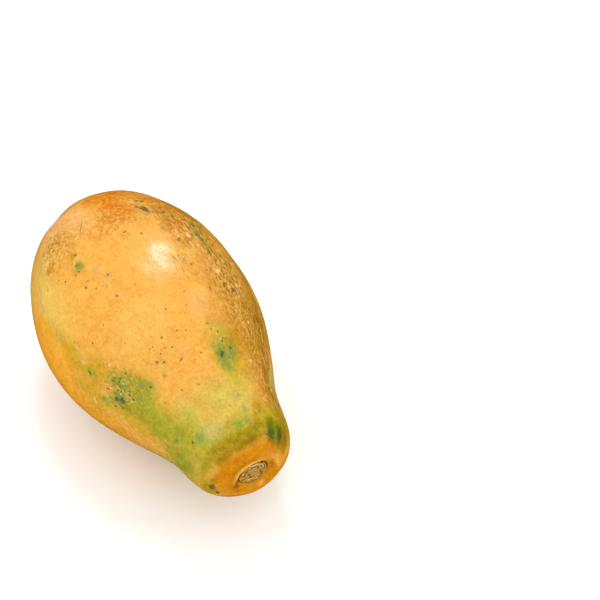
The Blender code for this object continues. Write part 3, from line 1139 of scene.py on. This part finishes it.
def papaya_skin_material():
    """Ripe papaya skin: a thin rind with its own wax, which turns from green to orange in blotches.

    The wax gives a soft shine. Fine pores, corky flecks and scuffs from the crate break it up.
    """
    material, tree = new_material("waxy_papaya_skin")
    place = add(tree, "ShaderNodeTexCoord", {}).outputs["Object"]
    grain_place = add(tree, "ShaderNodeAttribute", {}, attribute_name="grain_place").outputs["Vector"]
    scuffed = add(tree, "ShaderNodeAttribute", {}, attribute_name="scuffed").outputs["Fac"]
    pimpled = add(tree, "ShaderNodeAttribute", {}, attribute_name="pimpled").outputs["Fac"]

    # Blotches break up the edges of the washes. They and a finer mottling run through every colour.
    grain = {"Vector": place, "Scale": 1.0 / BLOTCH_SIZE, "Detail": 5.0, "Roughness": 0.72}
    blotch = add(tree, "ShaderNodeTexNoise", grain).outputs["Fac"]
    grain = {"Vector": place, "Scale": 1.0 / MOTTLE_SIZE, "Detail": 3.0, "Roughness": 0.7}
    fine = add(tree, "ShaderNodeTexNoise", grain).outputs["Fac"]
    colour = linear(SKIN_COLOUR)
    for name, hex_colour, blotchy, spots in WASHES:
        amount = add(tree, "ShaderNodeAttribute", {}, attribute_name=name).outputs["Fac"]
        start = add(tree, "ShaderNodeMath", {0: blotch, 1: blotchy}, operation="MULTIPLY").outputs[0]
        end = add(tree, "ShaderNodeMath", {0: start, 1: WASH_FADE}, operation="ADD").outputs[0]
        strength = {"Value": amount, "From Min": start, "From Max": end}
        strength = add(tree, "ShaderNodeMapRange", strength).outputs[0]
        colour = laid_over(tree, colour, linear(hex_colour), strength)
    for grey, most in ((blotch, BLOTCH_MOTTLING), (fine, FINE_MOTTLING)):
        layers = {0: most, 6: colour, 7: grey}
        mottle = add(tree, "ShaderNodeMix", layers, data_type="RGBA", blend_type="SOFT_LIGHT")
        colour = mottle.outputs[2]

    # Scuffs: dashes along the fruit, about 0.5 mm wide and 2 mm long, some darker and some paler.
    stretched = {0: grain_place, 1: DASH_STRETCH}
    stretched = add(tree, "ShaderNodeVectorMath", stretched, operation="MULTIPLY").outputs[0]
    grain = {"Vector": stretched, "Scale": 1.0 / DASH_WIDTH, "Detail": 2.0, "Roughness": 0.6}
    dashes = add(tree, "ShaderNodeTexNoise", grain).outputs["Fac"]
    colour = toned(tree, colour, dashes, DASH_TONES, scuffed)

    # Brownish and pale speckles of 1 to 2 mm where the skin is pimpled.
    grain = {"Vector": place, "Scale": 1.0 / SPECKLE_SIZE, "Detail": 3.0, "Roughness": 0.65}
    speckles = add(tree, "ShaderNodeTexNoise", grain).outputs["Fac"]
    colour = toned(tree, colour, speckles, SPECKLE_TONES, pimpled)

    # Corky pores: about one cell in six holds a brown fleck, at most about 1 mm across.
    cells = add(tree, "ShaderNodeTexVoronoi", {"Vector": place, "Scale": 1.0 / FLECK_SPACING}).outputs
    lot = add(tree, "ShaderNodeSeparateColor", {"Color": cells["Color"]}).outputs[0]
    size = {"Value": lot, "From Min": FLECK_LOT, "From Max": 1.0, "To Max": FLECK_LARGEST}
    size = add(tree, "ShaderNodeMapRange", size).outputs[0]
    near = add(tree, "ShaderNodeMath", {0: size, 1: cells["Distance"]}, operation="SUBTRACT").outputs[0]
    fleck = {"Value": near, "From Min": -0.04, "From Max": 0.06, "To Max": FLECK_STRENGTH}
    fleck = add(tree, "ShaderNodeMapRange", fleck).outputs[0]
    present = add(tree, "ShaderNodeMath", {0: lot, 1: FLECK_LOT}, operation="GREATER_THAN").outputs[0]
    fleck = add(tree, "ShaderNodeMath", {0: fleck, 1: present}, operation="MULTIPLY").outputs[0]
    colour = laid_over(tree, colour, linear(FLECK_COLOUR), fleck)

    grain = {"Vector": place, "Scale": 1.0 / RAGGED_SIZE, "Detail": 4.0, "Roughness": 0.7}
    ragged = add(tree, "ShaderNodeTexNoise", grain).outputs["Fac"]
    colour, inside = lay_marks(tree, colour, place, ragged, MARKS, skin_frame)

    # Relief: pimples, pores, and grain along the fruit.
    grain = {"Vector": place, "Scale": 1.0 / PIMPLE_SIZE, "Detail": 3.0, "Roughness": 0.6}
    pimples = add(tree, "ShaderNodeTexNoise", grain).outputs["Fac"]
    most, least = PIMPLE_HEIGHTS_MM
    size = add(tree, "ShaderNodeMath", {0: pimpled, 1: most, 2: least}, operation="MULTIPLY_ADD").outputs[0]
    pimples = add(tree, "ShaderNodeMath", {0: pimples, 1: size}, operation="MULTIPLY").outputs[0]
    pores = add(tree, "ShaderNodeTexVoronoi", {"Vector": place, "Scale": 1.0 / PORE_SPACING})
    pores = pores.outputs["Distance"]
    pore = {"Value": pores, "From Min": 0.06, "From Max": 0.26, "To Min": -PORE_DEPTH_MM, "To Max": 0.0}
    pore = add(tree, "ShaderNodeMapRange", pore, interpolation_type="SMOOTHSTEP").outputs[0]
    most, least = GRAIN_HEIGHTS_MM
    size = add(tree, "ShaderNodeMath", {0: scuffed, 1: most, 2: least}, operation="MULTIPLY_ADD").outputs[0]
    lines = add(tree, "ShaderNodeMath", {0: dashes, 1: size}, operation="MULTIPLY").outputs[0]
    height = add(tree, "ShaderNodeMath", {0: pimples, 1: pore}, operation="ADD").outputs[0]
    height = add(tree, "ShaderNodeMath", {0: height, 1: lines}, operation="ADD").outputs[0]
    bump = add(tree, "ShaderNodeBump", {"Height": height, "Distance": 1.0 * MM, "Strength": 1.0})

    rough = {0: scuffed, 1: SCUFF_ROUGHNESS, 2: SKIN_ROUGHNESS}
    rough = add(tree, "ShaderNodeMath", rough, operation="MULTIPLY_ADD").outputs[0]
    rough = {0: inside, 1: MARK_ROUGHNESS, 2: rough}
    rough = add(tree, "ShaderNodeMath", rough, operation="MULTIPLY_ADD").outputs[0]
    # The wax is thin and worn, so it mirrors less than clear varnish would.
    shader = add(tree, "ShaderNodeBsdfPrincipled", {
        "Base Color": colour,
        "Roughness": rough,
        "IOR": 1.45,
        "Specular IOR Level": 0.15,
        "Normal": bump.outputs[0],
    })
    add(tree, "ShaderNodeOutputMaterial", {"Surface": shader.outputs[0]})
    return material


def stub_frame(sideways, up, half_width, half_height, turn):
    """Place, turn and size of a mark on the stub's face, for a Mapping node on the stub's own places."""
    size = (half_width * MM, half_height * MM, STUB_MARK_DEPTH)
    return Vector((sideways * MM, up * MM, 0.0)), (0.0, 0.0, math.radians(turn)), size


def stalk_material():
    """Dry cut papaya stalk: fibres and dried latex, torn rather than sawn, so matt and crumbly."""
    material, tree = new_material("dry_cut_stalk")
    place = add(tree, "ShaderNodeTexCoord", {}).outputs["Object"]
    face_place = add(tree, "ShaderNodeAttribute", {}, attribute_name="face_place").outputs["Vector"]
    grain = {"Vector": place, "Scale": 1.0 / CRUMB_SIZE, "Detail": 4.0, "Roughness": 0.7}
    crumbs = add(tree, "ShaderNodeTexNoise", grain).outputs["Fac"]
    colour = toned(tree, linear(STALK_COLOUR), crumbs, CRUMB_TONES)
    colour = lay_marks(tree, colour, face_place, crumbs, STUB_MARKS, stub_frame)[0]
    bump = add(tree, "ShaderNodeBump", {"Height": crumbs, "Distance": 0.5 * MM, "Strength": 1.0})
    shader = add(tree, "ShaderNodeBsdfPrincipled", {
        "Base Color": colour,
        "Roughness": 0.8,
        "Specular IOR Level": 0.3,
        "Normal": bump.outputs[0],
    })
    add(tree, "ShaderNodeOutputMaterial", {"Surface": shader.outputs[0]})
    return material


def growth_places(piece):
    """Distance along the fruit, radius and angle of each point of a turned piece."""
    x, y, z = points_of(piece).T
    return z, np.hypot(x, y), np.arctan2(-x, y)


def shift_to_solid(points):
    """How far points on the fruit's own axis move to lie where its solid does, pressed on its spot."""
    low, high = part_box("fruit")
    return np.array([
        (low.x + high.x - points[:, 0].min() - points[:, 0].max()) / 2.0,
        (low.y + high.y - points[:, 1].min() - points[:, 1].max()) / 2.0,
        low.z - REST_DEPTH - points[:, 2].min(),
    ])


def make_fruit():
    """The fruit's skin, in the place of its solid, and the shift from its own axis to the frame."""
    piece = turned("papaya_skin", fruit_outline(), SKIN_SEGMENTS)
    distance, radius, angle = growth_places(piece)
    relief = stem_end_relief(distance, radius, angle) - blossom_end_relief(distance, radius, angle)
    points = tipped(grown(distance + relief, radius, angle))
    shift = shift_to_solid(points)
    points = points + shift
    set_points(piece, points)

    distance_mm = way_along(distance, radius) / MM
    lumps = 0.0
    for size, height, seed in LUMPS:
        lumps = lumps + height * noise_at(points, size, seed)
    outline = np.array(skin_outline())
    for spot_mm, spot_angle, reach, depth in FLAT_SHOULDER:
        spot_radius = np.interp(spot_mm * MM, outline[:, 0], outline[:, 1])
        middle = tipped(grown(spot_mm * MM, spot_radius, math.radians(spot_angle))) + shift
        away = np.linalg.norm(points - middle, axis=1) / MM
        lumps = lumps - depth * hump(away, 0.0, reach)
    lumps = lumps * np.clip((LUMPS_END_MM - distance_mm) / LUMPS_FADE_MM, 0.0, 1.0)
    points = points + normals_of(piece) * (lumps * MM)[:, None]
    points[:, 2] = np.maximum(points[:, 2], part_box("fruit")[0].z)
    set_points(piece, points)

    warp_mm = np.interp(distance_mm, WARP_PLACES_MM, WARP_SHIFTS_MM)
    distance_mm = distance_mm + noise_at(points, *WARP_ALONG) * warp_mm
    angle_degrees = np.degrees(angle) + WARP_TURN_DEGREES * noise_at(points, *WARP_ROUND)
    for name, _, _, spots in WASHES:
        add_field(piece, name, soft_spots(distance_mm, angle_degrees, spots))
    add_field(piece, "scuffed", soft_spots(distance_mm, angle_degrees, SCUFFED))
    add_field(piece, "pimpled", soft_spots(distance_mm, angle_degrees, PIMPLED))
    grain_radius = np.maximum(radius, GRAIN_RADIUS)
    grain_places = [distance, grain_radius * np.cos(angle), grain_radius * np.sin(angle)]
    add_places(piece, "grain_place", np.stack(grain_places, axis=1))
    return piece, shift


def make_stub(shift):
    """The stalk's stub, in the place of its solid."""
    piece = turned("stalk_stub", stub_outline(), STUB_SEGMENTS)
    distance, radius, angle = growth_places(piece)
    y, z = radius * np.cos(angle) / MM, radius * np.sin(angle) / MM
    flat = np.stack([y, z, np.zeros_like(y)], axis=1)
    height = np.zeros_like(distance)
    for bump_y, bump_z, reach, size in STUB_BUMPS:
        height = height + size * np.exp(-((y - bump_y) ** 2 + (z - bump_z) ** 2) / reach ** 2)
    for size, crumb_height, seed in STUB_CRUMBS:
        height = height + crumb_height * noise_at(flat, size, seed)
    height = height * (distance > STUB_FACE - FACE_MARGIN)
    uneven = 1.0 + STUB_EDGE_SHARE * noise_at(flat, *STUB_EDGE) * (radius / STUB_RADIUS)
    radius = np.minimum(radius * uneven, STUB_WIDEST)
    set_points(piece, tipped(grown(distance + height * MM, radius, angle)) + shift)
    add_places(piece, "face_place", flat * MM)
    return piece


def make_floor():
    """Plain pale floor."""
    bm = bmesh.new()
    bmesh.ops.create_grid(bm, x_segments=1, y_segments=1, size=FLOOR_SIZE)
    mesh = bpy.data.meshes.new("floor")
    bm.to_mesh(mesh)
    bm.free()
    floor = bpy.data.objects.new("floor", mesh)
    bpy.context.scene.collection.objects.link(floor)
    # Uncoated white card: pressed fibres, so it is matt and shows only soft shadows.
    material, tree = new_material("uncoated_white_card")
    shader = add(tree, "ShaderNodeBsdfPrincipled", {
        "Base Color": linear(CARD_COLOUR),
        "Roughness": 0.9,
        "Specular IOR Level": 0.2,
    })
    add(tree, "ShaderNodeOutputMaterial", {"Surface": shader.outputs[0]})
    mesh.materials.append(material)
    floor.visible_glossy = False


def make_camera():
    """Camera at the photograph's angle."""
    data = bpy.data.cameras.new("camera")
    data.lens = LENS_MM
    data.sensor_width = SENSOR_MM
    camera = bpy.data.objects.new("camera", data)
    bpy.context.scene.collection.objects.link(camera)
    back = Vector((
        math.sin(VIEW_AZIMUTH) * math.cos(VIEW_ELEVATION),
        -math.cos(VIEW_AZIMUTH) * math.cos(VIEW_ELEVATION),
        math.sin(VIEW_ELEVATION),
    ))
    camera.location = CAMERA_AIM + back * CAMERA_DISTANCE
    camera.rotation_euler = (-back).to_track_quat("-Z", "Y").to_euler()
    bpy.context.scene.camera = camera


def make_light():
    """One softbox high up beyond the belly, and even light from all round.

    The softbox's core shows only in the skin's shine. As black flags in a studio would, the
    visibility settings keep the pale room and floor out of that shine, so that the colours stay
    full at the edges.
    """
    lamps = [
        ("softbox", SOFTBOX_SIZE, SOFTBOX_POWER, True),
        ("softbox_core", CORE_SIZE, CORE_POWER, False),
    ]
    for name, size, power, lights_all in lamps:
        data = bpy.data.lights.new(name, "AREA")
        data.shape = "SQUARE"
        data.size = size
        data.energy = power
        lamp = bpy.data.objects.new(name, data)
        bpy.context.scene.collection.objects.link(lamp)
        lamp.location = SHINE_PLACE + SOFTBOX_DIRECTION * SOFTBOX_DISTANCE
        lamp.rotation_euler = (-SOFTBOX_DIRECTION).to_track_quat("-Z", "Y").to_euler()
        lamp.visible_diffuse = lights_all

    world = bpy.data.worlds.new("studio")
    bpy.context.scene.world = world
    world.use_nodes = True
    world.node_tree.nodes.clear()
    sky_inputs = {"Color": linear("#FFFFFF"), "Strength": SKY_STRENGTH}
    sky = add(world.node_tree, "ShaderNodeBackground", sky_inputs)
    add(world.node_tree, "ShaderNodeOutputWorld", {"Surface": sky.outputs[0]})
    world.cycles_visibility.glossy = False
    bpy.context.scene.view_settings.view_transform = "Standard"


fruit, fruit_shift = make_fruit()
skin_line = np.array(fruit_outline()[:-FLOOR_RINGS])
skin_ways = way_along(skin_line[:, 0], skin_line[:, 1])
fruit.data.materials.append(papaya_skin_material())
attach(fruit, "root")
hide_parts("fruit")

stub = make_stub(fruit_shift)
stub.data.materials.append(stalk_material())
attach(stub, "root")
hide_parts("stem_stub")

make_floor()
make_camera()
make_light()
